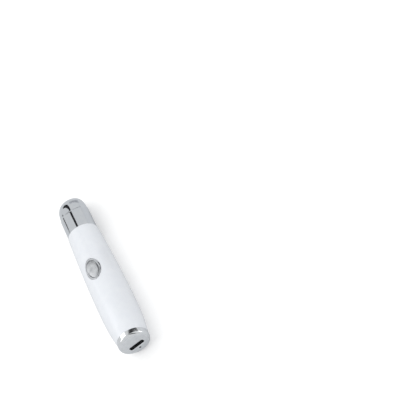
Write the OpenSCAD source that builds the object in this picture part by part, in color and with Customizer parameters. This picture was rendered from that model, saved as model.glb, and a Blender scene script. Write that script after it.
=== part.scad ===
// Heated eye massager wand, lying on its barrel with the button on top.
// The wand's axis runs along Y: charging end at -Y, massage head at +Y, button towards +Z.
// Inside the modules, y = 0 is the flat charging face and z = 0 is the wand's axis;
// seated() moves the finished wand so that it rests on z = 0 with its middle at the origin.

/* [Barrel] */
// Radius of the barrel where it is fullest
barrel_max_r = 12.5; // [11.8:0.1:14]
// Depth of the flat under the barrel that the wand lies on, which keeps it from rolling
foot_drop = 0.4; // [0.3:0.05:0.5]
// Radius of the barrel where it meets the end cap
barrel_rear_r = 10.5; // [10.4:0.05:11.2]
// Radius of the barrel at its front rim
barrel_front_r = 10.6; // [10.4:0.05:11.2]
// Length of the barrel, from the end cap to the front rim
barrel_l = 90.7; // [88:0.1:100]
// Distance from the end cap to the fullest place
barrel_belly_y = 31; // [20:0.5:40]
// How full the rear stretch stays before it closes in on the cap
rear_fullness = 3; // [1.6:0.1:3.5]
// How full the front stretch stays before it closes in on the head
front_fullness = 1.8; // [1.4:0.1:2.6]
// Radius of the straight bore through the barrel
bore_r = 9.2; // [9:0.05:9.5]
// Rounding of the barrel's front lip
lip_round = 0.4; // [0.1:0.05:0.45]
// Depth of the step in the front rim that holds the head
head_step_l = 5.5; // [4:0.1:8]

/* [End cap] */
// Length of the chrome cap in front of the barrel
cap_l = 4.8; // [4:0.1:7]
// Outer radius of the cap
cap_r = 10.5; // [10.2:0.05:11]
// Rounding of the cap's outer edge
cap_round = 2.0; // [0.8:0.1:2.6]
// Thickness of the cap's flat face
cap_face_t = 1.4; // [1:0.1:2]
// Length of the cap's spigot inside the barrel
cap_spigot_l = 5.2; // [4:0.1:7]
// Wall of the spigot
cap_spigot_wall = 1.1; // [0.8:0.05:1.15]

/* [Charging port] */
// Width of the slot in the cap
slot_w = 10.2; // [9.8:0.1:10.6]
// Height of the slot
slot_h = 3.5; // [3.4:0.05:3.8]
// Distance of the slot's centre below the wand's axis
slot_drop = 1.8; // [1.6:0.05:2]
// Width of the socket's metal shell
socket_w = 7.6; // [7.2:0.1:7.8]
// Height of the socket's metal shell
socket_h = 2.7; // [2.5:0.05:2.75]
// Thickness of the socket's sheet metal
socket_sheet = 0.3; // [0.2:0.05:0.4]
// Length of the socket's shell
socket_l = 5.6; // [5:0.1:6.5]
// Depth of the socket's mouth below the cap's face
socket_inset = 0.6; // [0.3:0.1:1]
// Distance of the charging light below the slot's centre
light_gap = 4; // [3.8:0.05:4.2]
// Diameter of the charging light's hole
light_d = 1.4; // [1:0.1:1.6]

/* [Massage head] */
// Radius of the polished head where it leaves the barrel
head_base_r = 10.3; // [10.1:0.05:10.4]
// Radius that the head's side wall tapers to at the tip
head_tip_r = 9.4; // [9.3:0.05:9.8]
// Radius of the head's spigot inside the barrel's lip
head_spigot_r = 9.6; // [9.5:0.05:9.65]
// Length of the head's side wall on the button's side
head_side_l = 17.8; // [16.5:0.1:19.5]
// Slant of the massage face towards the button
head_slant = 31; // [20:1:32]
// Radius of the domed massage face
dome_r = 13.4; // [13:0.1:18]
// Wall of the head
head_wall = 0.9; // [0.7:0.05:1]

/* [Button] */
// Distance from the charging face to the button's middle
button_y = 58.3; // [56:0.1:59.5]
// Length of the button along the wand
button_l = 13.4; // [12:0.1:14.5]
// Width of the button
button_w = 7.6; // [7:0.1:8.2]
// How far the button stands out of its ring
button_proud = 0.35; // [0.1:0.05:0.8]
// Radius of the button's dome
button_dome_r = 24; // [18:1:60]
// Travel of the button and of its switch
button_travel = 0.4; // [0.2:0.05:0.5]
// Thickness of the flange that holds the button in
button_flange_t = 0.9; // [0.7:0.05:1]
// Width of the flange's rim past the button's sides
button_flange_rim = 0.55; // [0.4:0.05:0.6]
// Radius of the post that presses the switch
button_post_r = 1.8; // [1.4:0.1:2.2]
// Wall of the chrome ring's skirt
ring_wall = 0.7; // [0.6:0.05:0.9]
// Width of the ring's flange past its skirt
ring_rim = 0.85; // [0.6:0.05:1.1]
// Depth of the ring's seat in the barrel
ring_seat_depth = 0.8; // [0.5:0.05:1]
// How far the ring stands out of the barrel
ring_proud = 0.45; // [0.2:0.05:0.7]
// Depth of the ring's skirt below the barrel's surface
ring_skirt_l = 1.9; // [1.6:0.05:2]

/* [Carrier] */
// Outer radius of the inner carrier
carrier_r = 9.0; // [8.95:0.05:9.1]
// Wall of the carrier
carrier_wall = 1.2; // [0.9:0.05:1.2]
// Height of the carrier's top edge above the axis
carrier_top = 3.6; // [3.4:0.1:3.7]
// Thickness of the carrier's ribs
rib_t = 1.2; // [0.8:0.1:1.6]
// Radius of the screw bosses
boss_r = 1.4; // [1.3:0.05:1.5]
// Distance of the screws from the wand's middle plane
boss_x = 5.6; // [5.4:0.05:5.7]

/* [Battery] */
// Radius of the lithium cell
cell_r = 4.6; // [4.2:0.05:4.65]
// Distance of the cell's axis below the wand's axis
cell_drop = 3.1; // [2.8:0.05:3.1]
// Distance from the charging face to the cell
cell_y = 22; // [21.5:0.1:22.2]
// Thickness of the nickel tabs
tab_t = 0.15; // [0.1:0.05:0.2]
// Width of the nickel tabs
tab_w = 4; // [3:0.1:5]

/* [Boards] */
// Thickness of the main board
board_t = 1.0; // [0.8:0.1:1.2]
// Width of the main board
board_w = 15.2; // [14.8:0.1:15.4]
// Distance from the charging face to the main board
board_y = 38; // [37:0.5:38.5]
// Thickness of the charging board
charge_board_t = 0.8; // [0.6:0.05:0.85]
// Length of the charging board
charge_board_l = 17.5; // [15:0.1:18]
// Side of the square press switch
switch_w = 6; // [5:0.1:6.2]
// Height of the press switch's body
switch_h = 1.9; // [1.5:0.05:2.2]
// Radius of the switch's plunger
plunger_r = 1.5; // [1.2:0.05:1.7]

/* [Motor] */
// Radius of the motor's can
motor_r = 4; // [3.6:0.05:4.1]
// Length of the motor's can
motor_l = 12.5; // [11:0.1:12.8]
// Distance of the motor's axis below the wand's axis
motor_drop = 2.4; // [2.3:0.05:2.6]
// Sheet thickness of the can
motor_sheet = 0.4; // [0.3:0.05:0.5]
// Thickness of the end bell
end_bell_t = 1.5; // [1.2:0.05:1.7]
// Thickness of the ring magnet
magnet_t = 0.5; // [0.4:0.05:0.6]
// Radius of the armature
armature_r = 2.75; // [2.4:0.05:2.9]
// Radius of the motor's shaft
shaft_r = 0.75; // [0.6:0.05:0.9]
// Wall of the bearing bush
bush_wall = 0.7; // [0.5:0.05:0.9]
// Wall of the rubber sleeve round the motor
sleeve_wall = 0.85; // [0.6:0.05:0.9]
// Radius of the off-centre weight
weight_r = 3.6; // [3:0.1:4.2]
// Length of the off-centre weight
weight_l = 5; // [4:0.1:5.4]
// Thickness of the clamp over the motor
clamp_t = 1.2; // [1:0.05:1.3]
// Width of the clamp along the wand
clamp_w = 4; // [3.4:0.1:4.4]

/* [Heater] */
// Thickness of the heating film inside the head
film_t = 0.3; // [0.2:0.05:0.4]
// Radius of the heating film
film_r = 6.6; // [5:0.1:6.8]
// Radius of the rubber pad that presses the film
pad_r = 6.9; // [6.6:0.05:7.2]
// Distance from the dome's centre to the pad's back
pad_back = 8; // [7:0.1:9]
// Outer radius of the holder under the pad
holder_r = 7.4; // [7.2:0.05:7.8]
// Wall of the holder
holder_wall = 1.0; // [0.8:0.05:1.05]
// Radius of the temperature sensor
sensor_r = 0.9; // [0.6:0.05:1.2]
// Radius of the wires
wire_r = 0.35; // [0.3:0.01:0.38]

/* [Fits] */
// Gap round a part that is pressed or glued in its seat
seat_gap = 0.05; // [0.02:0.01:0.08]
// Gap round a part that slides or turns
running_gap = 0.05; // [0.03:0.01:0.08]
// Gap round the moving button
button_gap = 0.15; // [0.1:0.01:0.2]
// Gap round a part that is only dropped in
loose_gap = 0.15; // [0.1:0.01:0.2]

/* [Hidden] */
$fn = 96;
oval_points = 56;
far = 60;
eps = 0.01;

// Stations along the wand
rim_y = cap_l + barrel_l;
belly_y = cap_l + barrel_belly_y;
spigot_end_y = cap_l + cap_spigot_l;
head_seat_y = rim_y - head_step_l;
collar_rear_l = 6;
carrier_front_y = head_seat_y - collar_rear_l;
carrier_in_r = carrier_r - carrier_wall;

// Motor train, counted back from the seat of the head
nose_l = 0.8;
weight_room = 0.9;
nose_gap = 0.6;
weight_y = head_seat_y - weight_room - weight_l;
can_end_y = weight_y - nose_gap - nose_l;
can_y = can_end_y - motor_l;
motor_y = can_y - end_bell_t;
motor_lead_room = 1.1;
stop_rib_y = motor_y - motor_lead_room - rib_t;
sleeve_inset = 1;
sleeve_y = can_y + sleeve_inset;
sleeve_l = motor_l - 2 * sleeve_inset;
clamp_inset = 0.4;
clamp_y = sleeve_y + sleeve_l - clamp_w - clamp_inset;

// Cell and main board, in what is left behind the motor train
cell_end_gap = 0.4;
cell_end_y = stop_rib_y - cell_end_gap;
cell_l = cell_end_y - cell_y;
board_end_gap = 1.3;
board_l = clamp_y - board_end_gap - board_y;

// Domed massage face: the crease's two ends lie on the dome, and the chord between them is slanted
crease_top_y = rim_y + head_side_l;
crease_r = head_base_r - (head_base_r - head_tip_r) * head_side_l / (head_side_l + dome_r);
crease_half = crease_r / cos(head_slant);
dome_sink = sqrt(dome_r * dome_r - crease_half * crease_half);
dome_y = crease_top_y + crease_r * tan(head_slant) - dome_sink * cos(head_slant);
dome_z = -dome_sink * sin(head_slant);
total_l = dome_y + dome_r;
head_in_r = head_spigot_r - head_wall;

// Collar between the barrel and the head
collar_front_l = 7;
collar_wall = 1.3;
bulkhead_t = 1.2;
collar_r = bore_r - seat_gap;
collar_front_r = head_in_r - seat_gap;
collar_end_y = head_seat_y + collar_front_l;
wire_window_w = 6.4;
wire_window_h = 2.2;

// Charging end
slot_z = -slot_drop;
light_z = slot_z - light_gap;
cap_spigot_r = bore_r - seat_gap;
cap_in_r = cap_spigot_r - cap_spigot_wall;
insert_flange_t = 1;
insert_flange_rim = 0.7;
charge_top_z = slot_z - socket_h / 2;
charge_low_z = charge_top_z - charge_board_t;
charge_board_y = cap_face_t + insert_flange_t + 0.2;
charge_board_w = 2 * (sqrt(carrier_in_r * carrier_in_r - charge_low_z * charge_low_z) - loose_gap);
light_bulb_r = 1.1;
light_pipe_l = 4.1;
led_w = 2;
led_h = 1.9;
led_t = 0.9;
tongue_w = 3.8;
tongue_t = 0.65;
contact_w = 0.4;
contact_t = 0.12;
contact_pitch = 0.65;

// Battery, boards and bosses
cell_z = -cell_drop;
board_top_z = carrier_top + board_t;
switch_top_z = board_top_z + switch_h;
screw_r = 0.8;
screw_head_r = 1.35;
screw_head_h = 0.9;
screw_l = 4.2;
boss_l = 4.4;
board_screw_ys = [board_y + 3, board_y + board_l - 3];
charge_screw_y = 16;

// Button, with heights over the wand's axis
button_surface_r = barrel_r(button_y);
ring_in_l = button_l + 2 * button_gap;
ring_in_w = button_w + 2 * button_gap;
ring_seat_r = button_surface_r - ring_seat_depth;
ring_top_r = button_surface_r + ring_proud;
ring_low_z = button_surface_r - ring_skirt_l;
flange_top_z = ring_low_z - running_gap;
flange_low_z = flange_top_z - button_flange_t;
plunger_h = 0.9;
plunger_depth = 0.6;
plunger_top_z = switch_top_z + plunger_h;
button_top_z = ring_top_r + button_proud;

// Motor's height and radii
motor_z = -motor_drop;
sleeve_r = motor_r + running_gap + sleeve_wall;
bush_r = shaft_r + running_gap + bush_wall;
bush_l = 2.1;
shaft_start_y = motor_y + 0.5;
shaft_end_y = weight_y + weight_l + 0.4;
magnet_r = motor_r - motor_sheet - running_gap;

// Heater stack, with distances from the dome's centre along the slanted normal
dome_in_r = dome_r - head_wall;
film_out_r = dome_in_r - seat_gap;
pad_front_r = film_out_r - film_t - seat_gap;
sensor_pocket_r = sensor_r + loose_gap;
wire_run_z = board_top_z + wire_r + seat_gap;
wire_run_high_z = carrier_top + clamp_t + wire_r + 0.12;

// Radius of the barrel at a station along the wand: two power curves that meet at the belly
function barrel_r(y) = y < belly_y
    ? barrel_max_r - (barrel_max_r - barrel_rear_r) * pow((belly_y - y) / (belly_y - cap_l), rear_fullness)
    : barrel_max_r - (barrel_max_r - barrel_front_r) * pow((y - belly_y) / (rim_y - belly_y), front_fullness);

// Moves the finished wand onto its flat foot, with the middle of its length at the origin
module seated() {
    translate([0, -total_l / 2, barrel_max_r - foot_drop]) children();
}

// Round bar along the wand, from one station to another
module bar(r, y0, y1) {
    translate([0, y0, 0]) rotate([-90, 0, 0]) cylinder(r = r, h = y1 - y0);
}

// Revolves a profile of [radius, station] points round the wand's axis
module revolved(points) {
    rotate([-90, 0, 0]) rotate_extrude() polygon(points);
}

// Flat shape, drawn looking along the wand, given a length along it
module along(y0, y1) {
    translate([0, y1, 0]) rotate([90, 0, 0]) linear_extrude(y1 - y0) children();
}

// Block from one corner to the other
module block(low, high) {
    translate(low) cube(high - low);
}

// Oval outline with its long side along the wand
module oval(l, w) {
    polygon([for (i = [0 : oval_points - 1]) [
        w / 2 * sin(360 * i / oval_points),
        l / 2 * cos(360 * i / oval_points)
    ]]);
}

// Upright oval column over the button's middle
module oval_column(l, w, z0, z1) {
    translate([0, button_y, z0]) linear_extrude(z1 - z0) oval(l, w);
}

// Slot outline with round ends, centred on the charging port
module port_outline(w, h) {
    translate([0, slot_z]) union() {
        square([w - h, h], center = true);
        for (side = [-1, 1]) translate([side * (w - h) / 2, 0]) circle(d = h);
    }
}

// Wire through a list of points: straight runs joined by corners that are a little thicker
module wire(points) {
    corner_r = wire_r + 0.03;
    for (i = [0 : len(points) - 2]) {
        run = points[i + 1] - points[i];
        run_l = norm(run);
        translate(points[i]) rotate([0, acos(run[2] / run_l), atan2(run[1], run[0])])
            cylinder(r = wire_r, h = run_l, $fn = 24);
        if (i > 0) translate(points[i]) sphere(r = corner_r, $fn = 24);
    }
}

// Places something on the massage face's slanted axis, measured from the dome's centre
module on_slant() {
    translate([0, dome_y, dome_z]) rotate([head_slant - 90, 0, 0]) children();
}

module barrel() {
    rear_steps = 14;
    front_steps = 20;
    lip_steps = 6;
    counterbore_r = head_spigot_r + seat_gap;
    lip_y = rim_y - lip_round;
    lip_r = barrel_front_r - lip_round;
    outline = concat(
        [[bore_r, cap_l]],
        [for (i = [0 : rear_steps - 1]) let (y = cap_l + barrel_belly_y * i / rear_steps) [barrel_r(y), y]],
        [for (i = [0 : front_steps - 1]) let (y = belly_y + (lip_y - belly_y) * i / front_steps) [barrel_r(y), y]],
        [for (i = [0 : lip_steps]) let (a = 90 * i / lip_steps)
            [lip_r + lip_round * cos(a), lip_y + lip_round * sin(a)]],
        [[counterbore_r, rim_y], [counterbore_r, head_seat_y], [bore_r, head_seat_y]]
    );
    color("white") difference() {
        revolved(outline);
        below(foot_drop - barrel_max_r);
        oval_column(ring_in_l + 2 * (ring_wall + seat_gap), ring_in_w + 2 * (ring_wall + seat_gap), 0, far);
        difference() {
            oval_column(ring_in_l + 2 * (ring_wall + ring_rim + seat_gap),
                        ring_in_w + 2 * (ring_wall + ring_rim + seat_gap), 0, far);
            bar(ring_seat_r, 0, rim_y);
        }
    }
}

module end_cap() {
    edge_steps = 8;
    outline = concat(
        [[0, 0]],
        [for (i = [0 : edge_steps]) let (a = 90 * i / edge_steps)
            [cap_r - cap_round + cap_round * sin(a), cap_round - cap_round * cos(a)]],
        [[cap_r, cap_l], [cap_spigot_r, cap_l], [cap_spigot_r, spigot_end_y],
         [cap_in_r, spigot_end_y], [cap_in_r, cap_face_t], [0, cap_face_t]]
    );
    color("silver") difference() {
        revolved(outline);
        along(-1, cap_face_t + 1) port_outline(slot_w, slot_h);
        translate([0, 0, light_z]) bar(light_d / 2, -1, cap_face_t + 1);
    }
}

// Black liner of the slot, with a flange behind the face and an opening for the socket
module port_insert() {
    liner_w = slot_w - 2 * seat_gap;
    liner_h = slot_h - 2 * seat_gap;
    liner_inset = 0.3;
    flange_y = cap_face_t + seat_gap;
    color([0.06, 0.06, 0.07]) difference() {
        union() {
            along(liner_inset, flange_y + insert_flange_t) port_outline(liner_w, liner_h);
            along(flange_y, flange_y + insert_flange_t)
                port_outline(slot_w + 2 * insert_flange_rim, slot_h + 2 * insert_flange_rim);
        }
        along(0, flange_y + insert_flange_t + 1) port_shell_outline(seat_gap);
    }
}

// Outline of the socket's shell, wider at the top, grown outwards by a margin
module port_shell_outline(grow) {
    w = socket_w + 2 * grow;
    h = socket_h + 2 * grow;
    chamfer = 0.9;
    translate([0, slot_z]) polygon([
        [-w / 2, h / 2], [-w / 2, h / 2 - h * 0.5], [-w / 2 + chamfer, -h / 2],
        [w / 2 - chamfer, -h / 2], [w / 2, h / 2 - h * 0.5], [w / 2, h / 2]
    ]);
}

module usb_socket() {
    back_y = socket_inset + socket_l;
    color("gainsboro") difference() {
        along(socket_inset, back_y) port_shell_outline(0);
        along(0, back_y - socket_sheet) port_shell_outline(-socket_sheet);
    }
}

// Plastic tongue with five contacts, standing from the socket's back wall
module usb_tongue() {
    back_y = socket_inset + socket_l - socket_sheet;
    front_y = socket_inset + 0.8;
    foot_l = 0.9;
    foot_w = socket_w - 2 * socket_sheet - 0.6;
    color([0.12, 0.12, 0.13]) union() {
        along(front_y, back_y) translate([0, slot_z]) square([tongue_w, tongue_t], center = true);
        along(back_y - foot_l, back_y) translate([0, slot_z + 0.25]) square([foot_w, 1.2], center = true);
        for (i = [-2 : 2])
            along(front_y + 0.3, back_y) translate([i * contact_pitch, slot_z - tongue_t / 2])
                square([contact_w, 2 * contact_t], center = true);
    }
}

// Clear light pipe: a thin pin in the face and a thicker foot behind it
module light_pipe() {
    pin_r = light_d / 2 - seat_gap;
    foot_y = cap_face_t + seat_gap;
    color([0.85, 0.9, 0.95]) translate([0, 0, light_z]) union() {
        bar(pin_r, 0.1, foot_y + eps);
        bar(light_bulb_r, foot_y, light_pipe_l);
    }
}

module charge_led() {
    led_y = light_pipe_l + 0.1;
    color("ivory") block([-led_w / 2, led_y, charge_low_z - led_h], [led_w / 2, led_y + led_t, charge_low_z]);
}

module charge_board() {
    color("darkgreen") difference() {
        block([-charge_board_w / 2, charge_board_y, charge_low_z],
              [charge_board_w / 2, charge_board_y + charge_board_l, charge_top_z]);
        translate([0, charge_screw_y, charge_low_z - 1]) cylinder(r = screw_r + loose_gap, h = charge_board_t + 2);
    }
}

// Charging chip, coil and a row of small parts on the charging board
module charge_board_parts() {
    parts_y = socket_inset + socket_l + 1;
    chip = [3, 3, 1.1];
    coil = [3.2, 3.2, 1.6];
    color([0.1, 0.1, 0.11]) {
        translate([-4.6, parts_y, charge_top_z]) cube(chip);
        translate([1.2, parts_y, charge_top_z]) cube(coil);
        for (i = [0 : 2]) translate([-4.8 + 3.9 * i, parts_y + 4.2, charge_top_z]) cube([1.6, 0.8, 0.6]);
    }
}

// Lower half-round tray with ribs that cradle the cell, the motor and both boards
module inner_carrier() {
    cell_rib_ys = [for (i = [0 : 4]) cell_y + 2 + i * (cell_l - 4 - rib_t) / 4];
    motor_rib_ys = [sleeve_y + 0.3, sleeve_y + sleeve_l - rib_t - 0.3];
    charge_rib_ys = [spigot_end_y + 1.4, charge_screw_y + 2.2];
    cradle_r = cell_r + loose_gap;
    motor_cradle_r = sleeve_r + seat_gap;
    color("lightgray") difference() {
        union() {
            intersection() {
                difference() {
                    bar(carrier_r, spigot_end_y, carrier_front_y);
                    bar(carrier_in_r, spigot_end_y - 1, carrier_front_y + 1);
                }
                below(carrier_top);
            }
            intersection() {
                bar(carrier_in_r + eps, spigot_end_y, carrier_front_y);
                union() {
                    for (y = cell_rib_ys) rib(y, 0, carrier_top, cradle_r, cell_z);
                    for (y = motor_rib_ys) rib(y, 0, carrier_top, motor_cradle_r, motor_z);
                    for (y = charge_rib_ys) rib(y, 0, charge_low_z, 0, 0);
                    rib(stop_rib_y, 0, carrier_top - 1.4, 0, 0);
                }
            }
            difference() {
                for (y = concat(board_screw_ys, [clamp_y + clamp_w / 2]), side = [-1, 1])
                    boss(side * boss_x, y, carrier_top, boss_l);
                translate([0, 0, motor_z]) bar(motor_cradle_r, sleeve_y - 1, sleeve_y + sleeve_l + 1);
            }
            intersection() {
                boss(0, charge_screw_y, charge_low_z, boss_l);
                bar(carrier_in_r + eps, spigot_end_y, carrier_front_y);
            }
        }
        for (y = board_screw_ys, side = [-1, 1]) screw_hole(side * boss_x, y, carrier_top);
        for (side = [-1, 1]) screw_hole(side * boss_x, clamp_y + clamp_w / 2, carrier_top);
        screw_hole(0, charge_screw_y, charge_low_z);
    }
}

// Everything below a height
module below(z) {
    block([-far, -far, -far], [far, 3 * far, z]);
}

// Cross rib up to a height, with a round cradle that is open at the top
module rib(y, z0, z1, cradle_r, cradle_z) {
    difference() {
        block([-far, y, -far], [far, y + rib_t, z1]);
        if (cradle_r > 0) {
            translate([0, 0, cradle_z]) bar(cradle_r, y - 1, y + rib_t + 1);
            block([-cradle_r, y - 1, cradle_z], [cradle_r, y + rib_t + 1, far]);
        }
    }
}

module boss(x, y, z, l) {
    translate([x, y, z - l]) cylinder(r = boss_r, h = l);
}

module screw_hole(x, y, z) {
    translate([x, y, z - screw_l]) cylinder(r = screw_r + seat_gap, h = screw_l + 1, $fn = 32);
}

module screw(x, y, z, grip) {
    socket_r = 0.5;
    translate([x, y, z]) difference() {
        union() {
            cylinder(r = screw_head_r, h = screw_head_h, $fn = 32);
            translate([0, 0, -grip - screw_l + 1]) cylinder(r = screw_r, h = grip + screw_l - 1, $fn = 32);
        }
        translate([0, 0, screw_head_h - 0.4]) cylinder(r = socket_r, h = 1, $fn = 32);
    }
}

module carrier_screws() {
    color("dimgray") {
        for (y = board_screw_ys, side = [-1, 1]) screw(side * boss_x, y, board_top_z, board_t);
        for (side = [-1, 1]) screw(side * boss_x, clamp_y + clamp_w / 2, carrier_top + clamp_t, clamp_t);
        screw(0, charge_screw_y, charge_top_z, charge_board_t - 1);
    }
}

// Lithium cell with a small raised button on its front end
module battery_cell() {
    crimp = 0.6;
    color("royalblue") translate([0, 0, cell_z]) union() {
        bar(cell_r, cell_y + crimp, cell_end_y - crimp);
        bar(cell_r - crimp / 2, cell_y, cell_end_y);
    }
}

// Nickel strips welded to the cell's ends, standing up towards the leads
module battery_tabs() {
    tab_top_z = cell_z + cell_r + 0.6;
    color("silver") {
        for (y = [cell_y - tab_t, cell_end_y])
            block([-tab_w / 2, y, cell_z - tab_w / 2], [tab_w / 2, y + tab_t, tab_top_z]);
    }
}

// Two wires from the cell's tabs to the main board's rear edge
module battery_leads() {
    run_z = cell_z + cell_r + wire_r + 0.2;
    rise_y = board_y - wire_r - 0.15;
    pad_y = board_y + 1.6;
    front_x = 2.9;
    color("firebrick") {
        wire([[-1.2, cell_y - 0.6, cell_z + 3], [-1.2, cell_y - 0.6, run_z + 0.6], [-1.2, cell_y + 1, run_z + 0.6],
              [-1.2, rise_y, run_z + 0.6], [-1.2, rise_y, wire_run_z], [-1.2, pad_y, wire_run_z]]);
        wire([[1.2, cell_end_y - 0.6, run_z + 0.2], [front_x, cell_end_y - 2, run_z + 0.2],
              [front_x, board_y + 0.6, run_z + 0.2], [1.2, rise_y, run_z + 0.2],
              [1.2, rise_y, wire_run_z], [1.2, pad_y, wire_run_z]]);
    }
}

// Two wires from the charging board to the main board
module charge_leads() {
    start_y = charge_board_y + charge_board_l - 1.6;
    run_z = cell_z + cell_r + wire_r + 0.4;
    rise_y = board_y - wire_r - 0.15;
    pad_y = board_y + 1.6;
    color([0.15, 0.15, 0.16]) for (side = [-1, 1])
        wire([[side * 3.8, start_y, charge_top_z + 0.05], [side * 3.8, start_y, run_z],
              [side * 3.8, rise_y, run_z], [side * 3.8, rise_y, wire_run_z], [side * 3.8, pad_y, wire_run_z]]);
}

module main_board() {
    color("darkgreen") difference() {
        block([-board_w / 2, board_y, carrier_top], [board_w / 2, board_y + board_l, board_top_z]);
        for (y = board_screw_ys, side = [-1, 1])
            translate([side * boss_x, y, carrier_top - 1]) cylinder(r = screw_r + loose_gap, h = board_t + 2, $fn = 32);
    }
}

// Controller, driver and rows of small parts, before and behind the switch
module main_board_parts() {
    chip = [5, 5.2, 1.5];
    driver = [3, 3, 1.1];
    color([0.1, 0.1, 0.11]) {
        translate([-chip[0] / 2, board_y + 6, board_top_z]) cube(chip);
        translate([-driver[0] / 2, button_y + switch_w / 2 + 2, board_top_z]) cube(driver);
        for (i = [0 : 3], side = [-1, 1])
            translate([side * 4.6 - 0.5, board_y + 7 + 2.4 * i, board_top_z]) cube([1, 1.6, 0.5]);
        for (side = [-1, 1])
            translate([side * 3.4 - 0.8, button_y + switch_w / 2 + 2.2, board_top_z]) cube([1.6, 2.4, 0.8]);
    }
}

module switch_body() {
    color("gainsboro") difference() {
        translate([-switch_w / 2, button_y - switch_w / 2, board_top_z]) cube([switch_w, switch_w, switch_h]);
        translate([0, button_y, switch_top_z - plunger_depth - button_travel - 0.1])
            cylinder(r = plunger_r + running_gap, h = switch_h);
    }
}

module switch_plunger() {
    color([0.12, 0.12, 0.13]) translate([0, button_y, switch_top_z - plunger_depth])
        cylinder(r = plunger_r, h = plunger_h + plunger_depth);
}

// Domed oval button with a flange under the ring and a post over the switch
module button_cap() {
    dome_z0 = button_top_z - button_dome_r;
    color("silver") union() {
        intersection() {
            oval_column(button_l, button_w, flange_low_z, far);
            translate([0, button_y, dome_z0]) sphere(r = button_dome_r);
        }
        oval_column(button_l + 2 * button_flange_rim, button_w + 2 * button_flange_rim,
                    flange_low_z, flange_top_z);
        translate([0, button_y, plunger_top_z + running_gap])
            cylinder(r = button_post_r, h = flange_low_z - plunger_top_z);
    }
}

// Chrome ring round the button: a flange on its seat in the barrel and a skirt in the window
module button_bezel() {
    skirt_l = ring_in_l + 2 * ring_wall;
    skirt_w = ring_in_w + 2 * ring_wall;
    color("lightgray") difference() {
        intersection() {
            union() {
                difference() {
                    oval_column(skirt_l + 2 * ring_rim, skirt_w + 2 * ring_rim, 0, far);
                    bar(ring_seat_r + seat_gap, 0, rim_y);
                }
                oval_column(skirt_l, skirt_w, ring_low_z, far);
            }
            bar(ring_top_r, 0, rim_y);
        }
        oval_column(ring_in_l, ring_in_w, 0, far);
    }
}

module motor_can() {
    cavity_end_y = can_end_y - 2 * motor_sheet;
    color("silver") translate([0, 0, motor_z]) difference() {
        union() {
            bar(motor_r, can_y, can_end_y);
            bar(bush_r + motor_sheet, can_end_y - eps, can_end_y + nose_l);
        }
        bar(motor_r - motor_sheet, can_y - 1, cavity_end_y);
        bar(bush_r + seat_gap, can_y, can_end_y + nose_l + 1);
    }
}

module motor_end_bell() {
    plug_l = 0.8;
    color([0.12, 0.12, 0.13]) translate([0, 0, motor_z]) difference() {
        union() {
            bar(motor_r, motor_y, can_y);
            bar(magnet_r, can_y - eps, can_y + plug_l);
        }
        bar(shaft_r + running_gap, shaft_start_y - 0.1, can_y + plug_l + 1);
    }
}

module motor_magnet() {
    color("dimgray") translate([0, 0, motor_z]) difference() {
        bar(magnet_r, can_y + 1.6, can_end_y - 2);
        bar(magnet_r - magnet_t, can_y, can_end_y);
    }
}

module motor_bearing() {
    bush_end_y = can_end_y + nose_l;
    color("goldenrod") translate([0, 0, motor_z]) difference() {
        bar(bush_r, bush_end_y - bush_l, bush_end_y);
        bar(shaft_r + running_gap, can_y, bush_end_y + 1);
    }
}

module motor_sleeve() {
    color([0.16, 0.16, 0.17]) translate([0, 0, motor_z]) difference() {
        bar(sleeve_r, sleeve_y, sleeve_y + sleeve_l);
        bar(motor_r + running_gap, sleeve_y - 1, sleeve_y + sleeve_l + 1);
    }
}

// Bridge across the tray with a saddle on the motor's sleeve
module motor_clamp() {
    saddle_w = 7;
    saddle_l = 2.6;
    clamp_half_w = board_w / 2;
    color("lightgray") difference() {
        union() {
            block([-clamp_half_w, clamp_y, carrier_top], [clamp_half_w, clamp_y + clamp_w, carrier_top + clamp_t]);
            block([-saddle_w / 2, clamp_y, carrier_top - saddle_l], [saddle_w / 2, clamp_y + clamp_w, carrier_top + eps]);
        }
        translate([0, 0, motor_z]) bar(sleeve_r + seat_gap, clamp_y - 1, clamp_y + clamp_w + 1);
        for (side = [-1, 1]) translate([side * boss_x, clamp_y + clamp_w / 2, carrier_top - 1])
            cylinder(r = screw_r + loose_gap, h = clamp_t + 2, $fn = 32);
    }
}

// Two wires from the motor's end bell up to the main board's underside
module motor_leads() {
    lead_y = motor_y - wire_r - 0.1;
    color([0.6, 0.1, 0.1]) for (side = [-1, 1])
        wire([[side * 1.6, lead_y, motor_z], [side * 1.6, lead_y, carrier_top - 0.05]]);
}

module motor_shaft() {
    color("silver") translate([0, 0, motor_z]) bar(shaft_r, shaft_start_y, shaft_end_y);
}

// Three-pole armature on the shaft
module motor_armature() {
    slot_t = 0.9;
    start_y = can_y + 2;
    end_y = can_end_y - 2.6;
    color("peru") translate([0, 0, motor_z]) difference() {
        bar(armature_r, start_y, end_y);
        bar(shaft_r + seat_gap, start_y - 1, end_y + 1);
        for (i = [0 : 2]) rotate([0, 120 * i, 0])
            block([-slot_t / 2, start_y - 1, shaft_r + 0.7], [slot_t / 2, end_y + 1, far]);
    }
}

// Half-round weight that hangs to one side of the shaft
module eccentric_weight() {
    hub_r = 1.5;
    color("darkgray") translate([0, 0, motor_z]) difference() {
        union() {
            intersection() {
                bar(weight_r, weight_y, weight_y + weight_l);
                block([-far, 0, -far], [far, 3 * far, 0]);
            }
            bar(hub_r, weight_y, weight_y + weight_l);
        }
        bar(shaft_r + seat_gap, weight_y - 1, weight_y + weight_l + 1);
    }
}

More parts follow.
